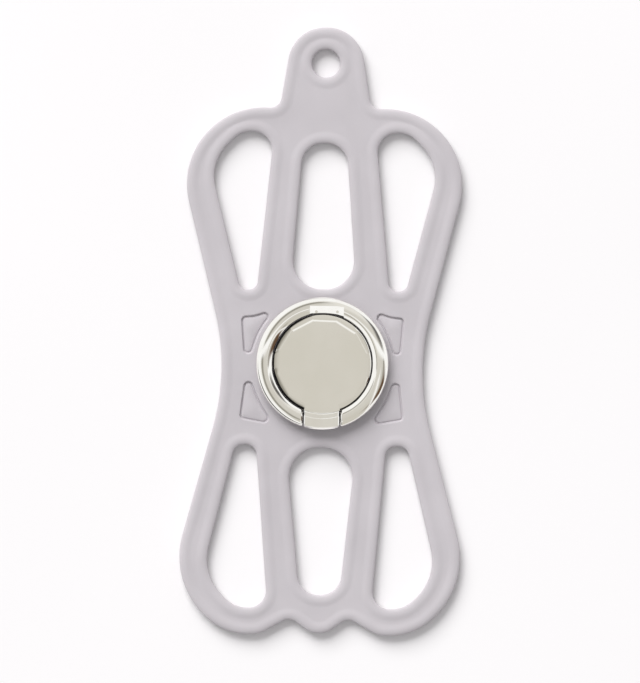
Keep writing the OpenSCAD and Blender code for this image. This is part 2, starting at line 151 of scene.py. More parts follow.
STRAIGHT = ((0, 0), (0.1, 0.06), (0.6, 0.55), (1, 1))  # a bevel's profile: how far out, how far down
ROUNDED = ((0, 0), (0.5, 0.13), (0.87, 0.5), (1, 1))


def both_halves(half):
    """A whole loop from the corners of its right half."""
    return half + [(-x, y, r) for x, y, r in reversed(half) if x > 0]


def mirrored(loop):
    """The same loop on the other side of the y axis."""
    return [(-x, y, r) for x, y, r in reversed(loop)]


# Loops run clockwise seen from above; each corner is x, y and its radius
OUTLINE = both_halves([
    (8.05, HEAD_Y, 9.2), (11.3, SHOULDER_Y, 2.8), (39.4, SHOULDER_Y, 18.9), (23.0, -1.9, 57),
    (37.05, -54.0, 20.8), (23.8, FOOT_Y, 16), (14.8, FOOT_Y, 8), (7.2, FOOT_Y + 4.3, 3),
    (0, FOOT_Y - 0.9, 5.7)])
UPPER_MIDDLE = both_halves([(5.4, 54.5, 5.6), (8.1, 18.3, 7.1)])
LOWER_MIDDLE = both_halves([(8.65, -20.8, 7.6), (4.95, -57.4, 5.15)])
UPPER_SIDE = [(12.6, 57.2, 4.85), (20.8, 57.2, 6.3), (28.53, 49.4, 11.3), (20.5, 18, 2.25), (16.4, 18, 2.25)]
LOWER_SIDE = [
    (16.1, -20.3, 2.8), (21.25, -20.3, 2.8), (29.14, -52.6, 12.5), (21.0, -60.7, 7.65), (12.85, -60.7, 4.25)]
SLOTS = [UPPER_MIDDLE, LOWER_MIDDLE, UPPER_SIDE, mirrored(UPPER_SIDE), LOWER_SIDE, mirrored(LOWER_SIDE)]
UPPER_POCKET = [(11.4, 13.5, 1.25), (16.9, 11.65, 8), (20.15, 11.35, 1.1), (19.05, -2.5, 1.15), (15.7, 8, 20)]
LOWER_POCKET = [(18.75, -1.15, 1.15), (20.3, -13.8, 1.05), (11.75, -15.35, 1.25), (15.55, -9.55, 25)]
POCKETS = [UPPER_POCKET, mirrored(UPPER_POCKET), LOWER_POCKET, mirrored(LOWER_POCKET)]

# The lug's section, with radius and height as x and y: flat on top, with a small bevel where it meets the
# disc's tab and a fine step behind that
STEP_R = BAND_R + 1.2
LUG_FOOT = RING_TOP - BAND_T
LUG_ROUND = 0.5
LUG_LOOP = [
    (BAND_R + 1.0, LUG_FOOT, 0.25), (BAND_R + SEAM, BAND_Z - 0.5, 0.3),
    (BAND_R + SEAM, RING_TOP - 0.12, 0.04), (BAND_R + 0.28, RING_TOP, 0.08),
    (STEP_R, RING_TOP - 0.08, 0.08), (STEP_R + 0.16, RING_TOP, 0.1),
    (RING_R - LUG_ROUND, RING_TOP - 0.03, LUG_ROUND), (RING_R, RING_TOP - 0.7, LUG_ROUND),
    (RING_R, LUG_FOOT + 0.7, LUG_ROUND), (RING_R - LUG_ROUND, LUG_FOOT, LUG_ROUND)]


# Rows of points

BATCH = 2000  # points measured at a time
FIT = 0.97  # how much of a side its two corners may take


def loop_row(loop, offset=0.0, spacing=0.8, turn_step=6.0):
    """Points round a loop, offset to the left of travel; their count doesn't depend on the offset.

    They are spacing apart, or turn_step degrees, on the corners and twice as far apart between them.
    """
    count = len(loop)
    spots = [np.array(c[:2], float) for c in loop]
    ways = [spots[(i + 1) % count] - spots[i] for i in range(count)]
    sides = [np.linalg.norm(w) for w in ways]
    ways = [w / s for w, s in zip(ways, sides)]
    turns = []
    for i in range(count):
        u, v = ways[i - 1], ways[i]
        turns.append(atan2(u[0] * v[1] - u[1] * v[0], u @ v))
    reach = [c[2] * tan(abs(t) / 2) for c, t in zip(loop, turns)]
    fits = [FIT * sides[i] / max(reach[i] + reach[(i + 1) % count], 1e-9) for i in range(count)]
    arcs = []
    for i in range(count):
        radius = loop[i][2] * min(1, fits[i], fits[i - 1])
        side = copysign(1, turns[i])
        left = np.array([-ways[i - 1][1], ways[i - 1][0]])
        centre = spots[i] - ways[i - 1] * radius * tan(abs(turns[i]) / 2) + left * side * radius
        start = atan2(-left[1] * side, -left[0] * side)
        steps = max(2, ceil(abs(turns[i]) * radius / spacing), ceil(abs(turns[i]) / radians(turn_step)))
        angles = start + turns[i] * np.arange(steps + 1) / steps
        arcs.append(centre + (radius - offset * side) * np.c_[np.cos(angles), np.sin(angles)])
    points = []
    for i, arc in enumerate(arcs):
        points.extend(arc)
        gap = arcs[(i + 1) % count][0] - arc[-1]
        steps = ceil(round(float(np.linalg.norm(gap)), 3) / (2 * spacing))
        points.extend(arc[-1] + gap * k / steps for k in range(1, steps))
    return np.array(points)


def circle_row(x, y, radius, count=72):
    """Points round a circle, clockwise seen from above."""
    angles = -2 * pi * np.arange(count) / count
    return np.c_[x + radius * np.cos(angles), y + radius * np.sin(angles)]


def distance_to(points, row):
    """Distance from each point to the closed line through a row's points."""
    a, b = row, np.roll(row, -1, axis=0)
    way = b - a
    square = np.maximum((way ** 2).sum(1), 1e-12)
    out = np.empty(len(points))
    for i in range(0, len(points), BATCH):
        p = points[i:i + BATCH, None]
        t = np.clip(((p - a) * way).sum(2) / square, 0, 1)
        out[i:i + BATCH] = np.sqrt((((a + way * t[..., None]) - p) ** 2).sum(2)).min(1)
    return out


def within(points, row):
    """Whether each point lies inside the closed line through a row's points."""
    a, b = row, np.roll(row, -1, axis=0)
    inside = np.zeros(len(points), bool)
    for i in range(0, len(points), BATCH):
        x, y = points[i:i + BATCH, :1], points[i:i + BATCH, 1:]
        spans = (a[:, 1] > y) != (b[:, 1] > y)
        rise = np.where(a[:, 1] == b[:, 1], 1, b[:, 1] - a[:, 1])
        cut = a[:, 0] + (y - a[:, 1]) / rise * (b[:, 0] - a[:, 0])
        inside[i:i + BATCH] = (spans & (x < cut)).sum(1) % 2 == 1
    return inside


def between(one, other):
    """Four-sided faces between two closed rows of point numbers."""
    count = len(one)
    return [(one[k], one[(k + 1) % count], other[(k + 1) % count], other[k]) for k in range(count)]


def whole(row):
    """A row for sheet, with all its points kept."""
    return row, np.ones(len(row), bool)


# Each edge of the web, as a function that gives the row at a distance into the silicone
web_edges = [lambda d: loop_row(OUTLINE, -d)]
web_edges += [lambda d, s=s: loop_row(s, d) for s in SLOTS]
web_edges += [lambda d: circle_row(0, LANYARD_Y, LANYARD_R + d)]
edge_lines = [edge(0) for edge in web_edges]


def eased(t):
    """A rise from 0 to 1 with level ends."""
    t = np.clip(t, 0, 1)
    return t * t * (3 - 2 * t)


def bead_height(d):
    """Height of the silicone at a distance from its nearest edge."""
    rise = np.sqrt(np.clip(1 - (1 - d / CREST_IN) ** 2, 0, 1))
    fall = 0.5 + 0.5 * np.cos(pi * np.clip((d - CREST_IN) / (BEAD_W - CREST_IN), 0, 1))
    outer = BEAD_SIDE_H + (BEAD_H - BEAD_SIDE_H) * rise
    inner = FIELD_T + (BEAD_H - FIELD_T) * fall
    return np.where(d < CREST_IN, outer, inner)


def sheet(rows, holes):
    """Triangles between rows of points, inside the first row and outside the rows in holes.

    Each row comes with a list that says which of its points are kept. Returns the points, the triangles and,
    for each row, the numbers of its points, with -1 for those that weren't kept.
    """
    points, edges, spans = [], [], []
    for row, kept in rows:
        numbers = np.cumsum(kept) - 1 + len(points)
        points.extend(row[kept])
        spans.append(np.where(kept, numbers, -1))
        both = kept & np.roll(kept, -1)
        after = np.roll(numbers, -1)
        edges.extend((int(numbers[k]), int(after[k])) for k in np.flatnonzero(both))
    found = delaunay_2d_cdt([Vector(p) for p in points], edges, [], 0, 1e-5)
    spots = np.array([tuple(v) for v in found[0]])
    triangles = np.array(found[2])
    place = np.full(len(points), -1)
    for new, olds in enumerate(found[3]):
        for old in olds:
            place[old] = new
    middles = spots[triangles].mean(1)
    keep = within(middles, rows[0][0])
    for hole in holes:
        keep &= ~within(middles, hole)
    return spots, triangles[keep], [np.where(s >= 0, place[s], -1) for s in spans]


def mesh_object(name, spots, faces, body, materials, face_materials=None, sharp=35):
    """A smooth-shaded piece from points in millimetres, riding on a CAD body if one is named.

    Edges that bend by more than sharp degrees stay sharp.
    """
    corners = [tuple(float(c) * MM for c in p) for p in spots]
    mesh = bpy.data.meshes.new(name)
    mesh.from_pydata(corners, [], [tuple(int(i) for i in f) for f in faces])
    for material in materials:
        mesh.materials.append(material)
    if face_materials is not None:
        mesh.polygons.foreach_set("material_index", face_materials)
    work = bmesh.new()
    work.from_mesh(mesh)
    loose = [v for v in work.verts if not v.link_faces]
    bmesh.ops.delete(work, geom=loose, context="VERTS")
    bmesh.ops.recalc_face_normals(work, faces=work.faces)
    work.to_mesh(mesh)
    work.free()
    mesh.shade_smooth()
    mesh.set_sharp_from_angle(angle=radians(sharp))
    piece = bpy.data.objects.new(name, mesh)
    bpy.context.collection.objects.link(piece)
    if body:
        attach(piece, body)
    return piece


def web_mesh(rise_step=15, fall_steps=7):
    """Points and faces of the moulded web: beaded top, upright sides, flat back with a recess."""
    rise = [CREST_IN * (1 - cos(radians(a))) for a in range(0, 91, rise_step)]
    fall = [CREST_IN + (BEAD_W - CREST_IN) * k / fall_steps for k in range(1, fall_steps + 1)]
    rows = []
    for number, edge in enumerate(web_edges):
        for d in rise + fall:
            row = edge(d)
            kept = np.ones(len(row), bool)
            if d > 0:
                for other, line in enumerate(edge_lines):
                    if other != number:
                        kept &= distance_to(row, line) >= d
            rows.append((row, kept))
    per_edge = len(rows) // len(web_edges)
    for pocket in POCKETS:
        for k in range(-3, 6):
            rows.append(whole(loop_row(pocket, -k * GROOVE_W / GROOVE_ROWS, POCKET_SPACING)))
    top, triangles, spans = sheet(rows, edge_lines[1:])
    height = bead_height(np.min([distance_to(top, line) for line in edge_lines], axis=0))
    for pocket in POCKETS:
        line = loop_row(pocket, spacing=POCKET_SPACING)
        inward = distance_to(top, line) * np.where(within(top, line), 1, -1) / GROOVE_W
        height -= GROOVE_DEPTH * eased(inward * GROOVE_STEEP + 0.5)
        height += (GROOVE_DEPTH - POCKET_DEPTH) * eased(inward * GROOVE_STEEP - 0.5)
    spots = [np.c_[top, height]]
    faces = [tuple(t) for t in triangles]

    def add_row(row, z):
        """Adds a row at one height and gives the numbers of its points."""
        first = sum(len(s) for s in spots)
        spots.append(np.c_[row, np.full(len(row), z)])
        return np.arange(first, first + len(row))

    feet = []
    for number, edge in enumerate(web_edges):
        upper = spans[number * per_edge]
        for angle in (0, 30, 60, 90):
            inset = FOOT_ROUND * (1 - cos(radians(angle)))
            lower = add_row(edge(inset), FOOT_ROUND * (1 - sin(radians(angle))))
            faces += between(upper, lower)
            upper = lower
        feet.append(upper)
    recess = circle_row(0, 0, RECESS_R, 144)
    foot_rows = [whole(edge(FOOT_ROUND)) for edge in web_edges] + [whole(recess)]
    under, under_triangles, under_spans = sheet(foot_rows, [row for row, _ in foot_rows[1:]])
    where = np.full(len(under), -1)
    recess_edge = add_row(recess, 0.0)
    for span, numbers in zip(under_spans, feet + [recess_edge]):
        where[span] = numbers
    spare = where < 0
    if spare.any():
        where[spare] = add_row(under[spare], 0.0)
    faces.extend(tuple(where[t]) for t in under_triangles)
    recess_top = add_row(recess, RECESS_H)
    faces += between(recess_edge, recess_top)
    faces.append(tuple(recess_top))
    return np.vstack(spots), faces


def band_section(inset, steps=14):
    """Points round the band's section, as radius and height: an oval outside, a full slope inside.

    The section is smaller by inset all round.
    """
    lift = BAND_T / 2
    crown = acos((CROWN_R - OVAL_R) / (RING_R - OVAL_R))
    tall = lift / sin(crown)
    upper = []
    for k in [0.01, *range(1, steps + 1)]:  # the first point isn't quite at 0, so its mirror image is another
        turn = crown * k / steps
        upper.append((OVAL_R + (RING_R - OVAL_R) * cos(turn), tall * sin(turn)))
    for k in range(1, steps + 1):
        turn = pi / 2 * k / steps
        inward = (CROWN_R - BAND_R - BAND_EDGE) * sin(turn) ** INNER_BEND[0]
        upper.append((CROWN_R - inward, lift - INNER_FALL * (1 - cos(turn) ** INNER_BEND[1])))
    points = np.array(upper + [(r, -z) for r, z in reversed(upper)])
    ways = np.roll(points, -1, axis=0) - np.roll(points, 1, axis=0)
    ways /= np.linalg.norm(ways, axis=1)[:, None]
    points = points - inset * np.c_[ways[:, 1], -ways[:, 0]]
    return points + (0, BAND_Z)


def swept(sections, angles_of):
    """Points and faces of a section swept round the z axis, with flat ends.

    sections holds one section for each step, and angles_of gives each step's angles from -y.
    """
    spots, faces = [], []
    count = len(sections[0])
    for section, angles in zip(sections, angles_of):
        spots.append(np.c_[section[:, 0] * np.sin(angles), -section[:, 0] * np.cos(angles), section[:, 1]])
    for step in range(len(sections) - 1):
        start = step * count
        faces += between(range(start, start + count), range(start + count, start + 2 * count))
    faces.append(tuple(range(count)))
    faces.append(tuple(range((len(sections) - 1) * count, len(sections) * count)))
    return np.vstack(spots), faces


def chamfered_end(section_of, x, facing):
    """Sections and their angles over the chamfer of an upright end, from the end inwards.

    section_of gives the section for an inset, and facing is 1 or -1, the way along x that the end faces.
    """
    sections = [section_of(deep) for deep, _ in CHAMFERS]
    angles = [np.arcsin((x - facing * far) / s[:, 0]) for s, (_, far) in zip(sections, CHAMFERS)]
    return sections, angles


def ring_mesh(steps=280):
    """The open ring: its ends are upright planes at END_X on both sides of the lug."""
    sections, angles = chamfered_end(band_section, END_X, -1)
    start = angles[-1]
    middle = [start + (2 * pi - 2 * start) * k / steps for k in range(1, steps)]
    return swept(sections + [sections[-1]] * len(middle) + sections[::-1],
                 angles + middle + [2 * pi - a for a in angles[::-1]])


def lug_mesh(steps=24):
    """The lug, between upright planes at LUG_X on both sides."""
    sections, angles = chamfered_end(lambda inset: loop_row(LUG_LOOP, -inset, 0.12, 8), LUG_X, 1)
    start = angles[-1]
    middle = [start * (1 - 2 * k / steps) for k in range(1, steps)]
    return swept(sections + [sections[-1]] * len(middle) + sections[::-1],
                 angles + middle + [-a for a in angles[::-1]])


def turned(section, steps=180):
    """Points and faces of a closed section turned all the way round the z axis."""
    section = np.array(section)
    count = len(section)
    spots, faces = [], []
    for step in range(steps):
        angle = 2 * pi * step / steps
        spots.append(np.c_[section[:, 0] * sin(angle), -section[:, 0] * cos(angle), section[:, 1]])
        start, following = step * count, (step + 1) % steps * count
        faces += between(range(start, start + count), range(following, following + count))
    return np.vstack(spots), faces


def boxed(x0, x1, y0, y1, z0, z1):
    """Points and faces of a box."""
    spots = [(x, y, z) for z in (z0, z1) for y in (y0, y1) for x in (x0, x1)]
    faces = [(0, 1, 3, 2), (4, 6, 7, 5), (0, 4, 5, 1), (2, 3, 7, 6), (0, 2, 6, 4), (1, 5, 7, 3)]
    return np.array(spots), faces


def peg(x, y, radius, bottom, top, count=32):
    """Points and faces of an upright round peg."""
    row = circle_row(x, y, radius, count)
    lower, upper = range(count), range(count, 2 * count)
    spots = np.vstack([np.c_[row, np.full(count, z)] for z in (bottom, top)])
    return spots, [tuple(lower), tuple(upper), *between(lower, upper)]


def notch_cut():
    """Points and faces of what the nail notch takes away, with a floor that falls towards the disc."""
    reach = BAND_R + NOTCH_CUT
    slope = (NOTCH_DEPTH - NOTCH_WALL) / NOTCH_CUT
    spots, faces = boxed(NOTCH_X - NOTCH_W / 2, NOTCH_X + NOTCH_W / 2, 0, reach,
                         RING_TOP - NOTCH_WALL, RING_TOP + CUTTER_OVER)
    spots[:2, 2] -= slope * reach  # the two lower points over the middle of the disc
    return spots, faces


def joined(*parts):
    """One list of points and faces, and the number of the part that each face comes from."""
    spots, faces, owners, shift = [], [], [], 0
    for number, (part_spots, part_faces) in enumerate(parts):
        spots.append(part_spots)
        faces += [tuple(i + shift for i in f) for f in part_faces]
        owners += [number] * len(part_faces)
        shift += len(part_spots)
    return np.vstack(spots), faces, owners


def disc_mesh(per_flat=16):
    """The mirror disc: a flat field, twelve slanting flats, a rim, and the tab that meets the lug.

    The rim is rounded, but for the stretches where it has a bevel: polished at the right, and in painted
    shade on the left. Returns its points, its faces, and for each face 0 where it is polished and 1 where it
    carries painted shade.
    """
    apothem = FLAT_CORNER_R * cos(pi / FLAT_COUNT)
    slope = FLAT_DROP / (DISC_R - apothem)
    tab = asin(LUG_X / DISC_R)
    steps = FLAT_COUNT * per_flat
    angles = [2 * pi * k / steps for k in range(steps)]
    for start, side in ((0, 1), (2 * pi, -1)):
        angles += [start + side * (tab + hair) for hair in (-HAIR, HAIR)]
    for flat in range(FLAT_COUNT):
        corner = 2 * pi * (flat + 0.5) / FLAT_COUNT - FLAT_TURN
        angles += [corner + hair for hair in (-4 * HAIR, -HAIR, HAIR, 4 * HAIR)]
    angles.sort()

    def shade_width(angle):
        """How wide the rim's bevel in painted shade is, from 0 to 1."""
        if min(angle, 2 * pi - angle) < tab + 2 * HAIR:
            return 0
        inside = max(min(degrees(angle) - start, end - degrees(angle)) for start, end in SHADED_RIM)
        return max(0, min(1, inside / SHADE_TAPER))

    lines = []
    for angle in angles:
        off = (angle + FLAT_TURN + pi / FLAT_COUNT) % (2 * pi / FLAT_COUNT) - pi / FLAT_COUNT
        on_tab = min(angle, 2 * pi - angle) < tab
        ease = FLAT_EASE if cos(angle - off) < TOP_FLATS else FLAT_CRISP
        bevel_share = 1 if radians(BRIGHT_RIM[0]) < angle < radians(BRIGHT_RIM[1]) else shade_width(angle)
        rim, wide, deep, profile = DISC_R, RIM_ROUND, RIM_ROUND, ROUNDED
        if bevel_share:
            wide, deep, profile = BEVEL_LEAST + BEVEL_W * bevel_share, BEVEL_LEAST + BEVEL_H * bevel_share, STRAIGHT
        if on_tab:
            rim, wide, deep, profile = BAND_R - SEAM, TAB_BEVEL_W, TAB_BEVEL_H, STRAIGHT

        def spot(radius, z):
            return (radius * sin(angle) + DISC_SHIFT, -radius * cos(angle), z)

        def face_z(past):
            """Height of the disc's face at a distance past the edge of the field."""
            if on_tab:
                return RING_TOP
            if past < ease:
                return RING_TOP - slope * max(0, past + ease) ** 2 / (4 * ease)
            return RING_TOP - slope * past

        line = [spot((apothem + ease * step) / cos(off), face_z(ease * step)) for step in EDGE_STEPS]
        edge_z = face_z((rim - wide) * cos(off) - apothem)
        line += [spot(rim - wide * (1 - out), edge_z - deep * down) for out, down in profile]
        line.append(spot(rim, DISC_BOTTOM))
        lines.append(line)
    rows = list(zip(*lines))
    spots = np.array([s for row in rows for s in row])
    count, last = len(angles), len(rows) - 1
    faces = [tuple(range(count)), tuple(range(last * count, (last + 1) * count))]
    shade_marks = [0, 1]
    for r in range(last):
        faces += between(range(r * count, (r + 1) * count), range((r + 1) * count, (r + 2) * count))
        on_rim, on_side = r >= len(EDGE_STEPS), r == last - 1
        # painted shade on the disc's side all round and on the rim's shaded bevel
        shade_marks += [int(on_side or on_rim and shade_width(angle) > 0) for angle in angles]
    return spots, faces, shade_marks


def carve(piece, cutters, sharp=28):
    """Takes the cutters' shapes out of the piece and deletes the cutters."""
    for cutter in cutters:
        cut = piece.modifiers.new("cut", "BOOLEAN")
        cut.operation, cut.solver, cut.object = "DIFFERENCE", "EXACT", cutter
    bpy.context.view_layer.update()
    shaped = bpy.data.meshes.new_from_object(piece.evaluated_get(bpy.context.evaluated_depsgraph_get()))
    piece.modifiers.clear()
    piece.data = shaped
    shaped.set_sharp_from_angle(angle=radians(sharp))
    for cutter in cutters:
        bpy.data.objects.remove(cutter)


# Materials

PATCH_SPAN = (0.35, 0.65)  # the part of the noise over which the patches go from one tone to the other
GRAIN_SPAN = (0.3, 0.7)  # and over which the grain goes from smooth to rough


def linear(code):
    """Linear colour of an sRGB hex value."""
    parts = [int(code[i:i + 2], 16) / 255 for i in (1, 3, 5)]
    return (*[p / 12.92 if p <= 0.04045 else ((p + 0.055) / 1.055) ** 2.4 for p in parts], 1.0)


def add(tree, kind, settings=None, **inputs):
    """A node with its settings; an input, by name or n and its number, gets a value or a socket."""
    node = tree.nodes.new(kind)
    for name, value in (settings or {}).items():
        setattr(node, name, value)
    for name, value in inputs.items():
        numbered = name[0] == "n" and name[1:].isdigit()
        socket = node.inputs[int(name[1:]) if numbered else name.replace("_", " ")]
        if isinstance(value, bpy.types.NodeSocket):
            tree.links.new(value, socket)
        else:
            socket.default_value = value
    return node


def finish(name, tones, tone_mm, grain_mm, roughness, depth_mm, **sockets):
    """A material of two close tones in soft patches, with a grain that sets its roughness and its bumps.

    Sizes are the real ones in millimetres; sockets go to the shader as they are.
    """
    material = bpy.data.materials.new(name)
    material.use_nodes = True
    tree = material.node_tree
    tree.nodes.clear()
    place = add(tree, "ShaderNodeTexCoord").outputs["Object"]
    patches = add(tree, "ShaderNodeTexNoise", Vector=place, Scale=1 / (tone_mm * MM), Detail=2.0)
    tone = add(tree, "ShaderNodeMapRange", n0=patches.outputs[0], n1=PATCH_SPAN[0], n2=PATCH_SPAN[1])
    colour = add(tree, "ShaderNodeMix", {"data_type": "RGBA"}, n0=tone.outputs[0],
                 n6=linear(tones[0]), n7=linear(tones[1]))
    grain = add(tree, "ShaderNodeTexNoise", Vector=place, Scale=1 / (grain_mm * MM), Detail=3.0)
    rough = add(tree, "ShaderNodeMapRange", n0=grain.outputs[0], n1=GRAIN_SPAN[0], n2=GRAIN_SPAN[1],
                n3=roughness[0], n4=roughness[1])
    bump = add(tree, "ShaderNodeBump", Height=grain.outputs[0], Distance=depth_mm * MM)
    shader = add(tree, "ShaderNodeBsdfPrincipled", Base_Color=colour.outputs[2], Roughness=rough.outputs[0],
                 Normal=bump.outputs[0], **sockets)
    add(tree, "ShaderNodeOutputMaterial", Surface=shader.outputs[0])
    return material


# Silicone rubber from a spark-eroded mould: matt and soft, a little light goes into it at thin edges
silicone = finish("moulded_silicone", ("#C6C1C5", "#CBC6CA"), 14, 0.3, (0.5, 0.62), 0.008,
                  IOR=1.41, Specular_IOR_Level=0.35, Subsurface_Weight=0.15,
                  Subsurface_Radius=(1.0, 0.9, 0.9), Subsurface_Scale=MM)
# Polished nickel plate on a zinc casting: a bright mirror with faint wipe marks
nickel = finish("polished_nickel_plate", ("#F6F4EF", "#FAF9F5"), 5, 0.6, (0.05, 0.09), 0.0006, Metallic=1.0)
# Mirror-polished stainless steel sheet: flat and a little warmer than the plate, with hairline wipe marks
mirror = finish("mirror_polished_steel", ("#F3F1EA", "#F6F4EE"), 8, 0.5, (0.05, 0.08), 0.0003, Metallic=1.0)
# Painted shade: near-black on the unpolished inside of the casting, on the disc's side and on the rim's
# shaded bevel, so that the gap round the disc looks deep in shade
shade_black = finish("painted_shade_black", ("#0E0C0A", "#191613"), 1.5, 0.3, (0.5, 0.7), 0.004, Metallic=0.2)
# Zinc-plated sheet steel, stamped: satin, with the fine grain of its rolling
steel = finish("zinc_plated_steel", ("#B4B4AF", "#C3C3BF"), 3, 0.2, (0.28, 0.42), 0.003, Metallic=1.0)
# Blued spring steel: darker and smoother than the plates
springs = finish("blued_spring_steel", ("#7C7F86", "#93959B"), 2, 0.3, (0.25, 0.35), 0.002, Metallic=1.0)
# Natural nylon, moulded: milky and waxy
nylon = finish("moulded_nylon", ("#E2E0D6", "#EAE8DF"), 2, 0.4, (0.4, 0.5), 0.003, IOR=1.53)
# Graphite-filled nylon, moulded: dark grey and dull, in the gaps of the hinge
dark_nylon = finish("graphite_nylon", ("#1C1B1A", "#262524"), 1, 0.2, (0.5, 0.6), 0.003, IOR=1.53)
# Acrylic adhesive film: glassy and faintly yellow
film = finish("acrylic_film", ("#E6E4D8", "#EEECE2"), 1, 0.5, (0.15, 0.25), 0.002, IOR=1.47)
# Die-cut closed-cell foam in the silicone's grey: dull, with cells of about a third of a millimetre
foam = finish("closed_cell_foam", ("#B6B1B5", "#C2BEC1"), 1.2, 0.35, (0.8, 0.92), 0.03,
              IOR=1.45, Specular_IOR_Level=0.2)
# White seamless paper
paper = finish("seamless_paper", ("#F9F7F8", "#FBF9FA"), 200, 1, (0.85, 0.95), 0.01, Specular_IOR_Level=0.1)

# The CAD pieces that are kept as they are, and what each is made of
kept_pieces = {
    "back_pad": foam, "back_plate": steel, "base_plate": steel, "clamp_rivet_1": steel,
    "clamp_rivet_2": steel, "clamp_rivet_3": steel, "clamp_rivet_4": steel, "thrust_washer": nylon,
    "pivot_rivet": steel, "spring_washer": springs, "keeper_washer": steel, "face_film": film,
    "friction_sleeve": springs, "hinge_pin": steel, "hinge_washer_left": dark_nylon,
    "hinge_washer_right": dark_nylon}
for name, material in kept_pieces.items():
    for part_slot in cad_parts[name].material_slots:
        part_slot.material = material

# Pieces

web = mesh_object("web_moulding", *web_mesh(), "web", [silicone])
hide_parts("silicone_web")

ring = mesh_object("ring_band", *ring_mesh(), None, [nickel])
cutters = [mesh_object("notch_cut", *notch_cut(), None, [nickel])]
for side in (-1, 1):
    dimple = peg(NOTCH_X + side * DIMPLE_SPACING / 2, BAND_R + DIMPLE_IN, DIMPLE_R,
                 RING_TOP - NOTCH_DEPTH - DIMPLE_DEPTH, RING_TOP + CUTTER_OVER)
    cutters.append(mesh_object("dimple_cut", *dimple, None, [nickel]))
carve(ring, cutters)
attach(ring, "ring")
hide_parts("finger_ring")

# The deck and its lip carry painted shade: near-black where the gap round the disc shows them
deck = turned([
    (PIVOT_R, DECK_BOTTOM), (SHADE_LIP_R, DECK_BOTTOM), (SHADE_LIP_R, DECK_BOTTOM + SHADE_LIP_T), (DECK_R, DECK_BOTTOM + SHADE_LIP_T),
    (DECK_R, RIM_TOP), (DECK_R - RIM_W, RIM_TOP), (DECK_R - RIM_W, DECK_TOP), (PIVOT_R, DECK_TOP)])
neck = boxed(-NECK_X, NECK_X, -BAND_R - 0.6, -DECK_R + RIM_W / 2, DECK_TOP - 0.5, RIM_TOP - 0.01)
spots, faces, owners = joined(lug_mesh(), deck, neck)
deck_painted_shade = [int(owner == 1) for owner in owners]
turntable = mesh_object("turntable_casting", spots, faces, "turntable", [nickel, shade_black], deck_painted_shade,
                        sharp=28)
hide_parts("turntable")

disc_spots, disc_faces, disc_shade_marks = disc_mesh()
disc = mesh_object("mirror_disc", disc_spots, disc_faces, "turntable", [mirror, shade_black], disc_shade_marks,
                   sharp=25)
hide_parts("face_plate")

# Camera, floor and light

PHOTO_W, PHOTO_H = 640, 683
MM_PER_PIXEL = 0.2473
RING_PIXEL = (322.2, 363.4)
LEAN = radians(0.75)  # the holder leans clockwise in the photograph
CAMERA_HEIGHT = 1500
SENSOR = 36
CLIP_END = 20  # metres
FLOOR_REACH = 3.0  # metres
FLOOR_DROP = 0.4  # under the web, so that its shadows are as long as in the photograph

across = (PHOTO_W / 2 - RING_PIXEL[0]) * MM_PER_PIXEL
along = (RING_PIXEL[1] - PHOTO_H / 2) * MM_PER_PIXEL
camera_data = bpy.data.cameras.new("camera")
camera_data.sensor_fit = "VERTICAL"
camera_data.sensor_height = camera_data.sensor_width = SENSOR
camera_data.lens = SENSOR * (CAMERA_HEIGHT - FIELD_T) / (PHOTO_H * MM_PER_PIXEL)
camera_data.clip_end = CLIP_END
camera = bpy.data.objects.new("camera", camera_data)
camera.location = Vector((across * cos(LEAN) - along * sin(LEAN), across * sin(LEAN) + along * cos(LEAN),
                          CAMERA_HEIGHT)) * MM
camera.rotation_euler = (0, 0, LEAN)
bpy.context.collection.objects.link(camera)
bpy.context.scene.camera = camera

floor_mesh = bpy.data.meshes.new("floor")
floor_corners = [(x * FLOOR_REACH, y * FLOOR_REACH, 0) for x, y in ((-1, -1), (1, -1), (1, 1), (-1, 1))]
floor_mesh.from_pydata(floor_corners, [], [(0, 1, 2, 3)])
floor_mesh.materials.append(paper)
floor = bpy.data.objects.new("floor", floor_mesh)
floor.location.z = -FLOOR_DROP * MM
bpy.context.collection.objects.link(floor)


def soft_box(name, azimuth, elevation, wide, tall, share, distance=8.0):
    """A soft box aimed at the ring, which gives white paper its share of full white.

    Its angles are in degrees, as the ring sees them, with the azimuth clockwise from +y. Its distance is in
    metres.
    """
    turn, lift = radians(azimuth), radians(elevation)
    way = Vector((sin(turn) * cos(lift), cos(turn) * cos(lift), sin(lift)))
    data = bpy.data.lights.new(name, "AREA")
    data.shape = "RECTANGLE"
    data.size, data.size_y = (2 * distance * tan(radians(angle / 2)) for angle in (wide, tall))
    data.energy = share * pi ** 2 * distance ** 2 / sin(lift)
    box = bpy.data.objects.new(name, data)
    box.visible_glossy = False  # metal shows the room's own panels
    box.location = way * distance
    box.rotation_mode = "QUATERNION"
    box.rotation_quaternion = (-way).to_track_quat("-Z", "Y")
    bpy.context.collection.objects.link(box)


soft_box("window_box", azimuth=-26, elevation=38, wide=40, tall=38, share=0.685)

# The room: dull light on the object, and for camera, gloss and transmission rays a pattern on a plane over
# the object. East and north on the plane run along x and y. One unit from its middle is seen at 45 degrees.
DULL_LIGHT = 0.45
HORIZON = 0.02  # a ray that rises less than this is taken to rise as much

# A grey ceiling with a dark edge, and white past it: how far north of its middle each tone is, and its colour
CEILING = (
    (0, "#D9D6CF"), (0.62, "#D3D0C9"), (0.72, "#98958C"), (0.86, "#98958C"), (0.98, "#F4F3EF"),
    (1.25, "#FFFFFF"))
CEILING_END = CEILING[-1][0]
CEILING_MIDDLE = (0.12, 0, 0)
CEILING_REACH = (1.19, CEILING_END, 1)  # how far it goes east and north

